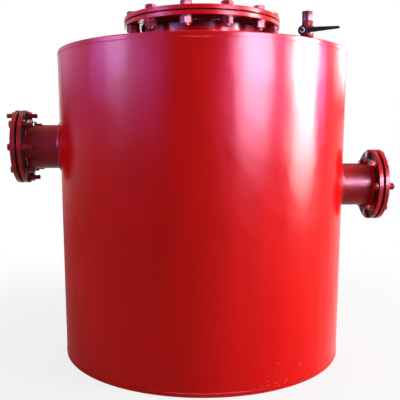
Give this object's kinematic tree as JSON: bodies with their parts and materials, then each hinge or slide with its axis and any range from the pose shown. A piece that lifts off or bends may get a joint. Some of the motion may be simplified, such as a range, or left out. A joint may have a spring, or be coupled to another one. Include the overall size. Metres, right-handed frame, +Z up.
{
  "type": "water seal explosion arrestor",
  "caption": "Upright red steel tank with a dip pipe and water seal, flanged side nozzles, a bolted relief vent on top and a lever ball valve for filling.",
  "frame": {"origin": "centre of the tank's flat underside, on the tank's axis", "axes": "+Z up along the tank's axis; +X towards the lower outlet nozzle, -X towards the higher inlet nozzle; -Y is the front"},
  "size_m": [1.424, 1.082, 1.258],
  "materials": {
    "tank_paint": "glossy red enamel with runs and ripples",
    "flange_paint": "dark red enamel, worn at the edges",
    "fastener_paint": "red enamel brushed over steel",
    "zinc_steel": "dull zinc, smeared with red paint",
    "bare_steel": "turned steel",
    "black_rubber": "matte black rubber sheet",
    "inner_coat": "matte red-brown primer",
    "valve_paint": "red enamel brushed over the valve",
    "seat_plastic": "waxy white plastic",
    "ball_chrome": "polished",
    "lever_paint": "black enamel"
  },
  "bodies": {
    "tank": {"bottom_plate": "tank_paint", "close_nipple": "valve_paint", "dip_pipe": "inner_coat", "dip_pipe_legs": "inner_coat", "drain_plug": "tank_paint", "drain_socket": "tank_paint", "fill_coupling": "valve_paint", "fill_riser": "tank_paint", "gland_nut": "bare_steel", "hold_down_ring": "tank_paint", "inlet_bolts": "zinc_steel", "inlet_elbow": "inner_coat", "inlet_flange": "flange_paint", "inlet_gasket": "black_rubber", "inlet_mating_flange": "flange_paint", "inlet_nuts": "fastener_paint", "inlet_pipe": "tank_paint", "inlet_washers": "fastener_paint", "level_plug": "tank_paint", "level_socket": "tank_paint", "lower_seat": "seat_plastic", "outlet_bolts": "zinc_steel", "outlet_flange": "flange_paint", "outlet_gasket": "black_rubber", "outlet_mating_flange": "flange_paint", "outlet_nuts": "fastener_paint", "outlet_pipe": "tank_paint", "outlet_washers": "fastener_paint", "relief_diaphragm": "black_rubber", "stem_packing": "seat_plastic", "tank_shell": "tank_paint", "top_plate": "tank_paint", "upper_seat": "seat_plastic", "valve_body": "valve_paint", "valve_end": "valve_paint", "vent_bolts": "fastener_paint", "vent_flange": "tank_paint", "vent_neck": "tank_paint", "vent_nuts": "fastener_paint", "vent_washers": "fastener_paint"},
    "lever": {"valve_ball": "ball_chrome", "valve_stem": "bare_steel", "valve_lever": "lever_paint", "lever_washer": "zinc_steel", "lever_nut": "zinc_steel"}
  },
  "joints": [
    {"name": "valve_turn", "type": "hinge", "parent": "tank", "child": "lever", "pos_m": [0.39, 0, 1.184], "axis": [-0.5, -0.866, 0], "range_deg": [0, 90]}
  ]
}
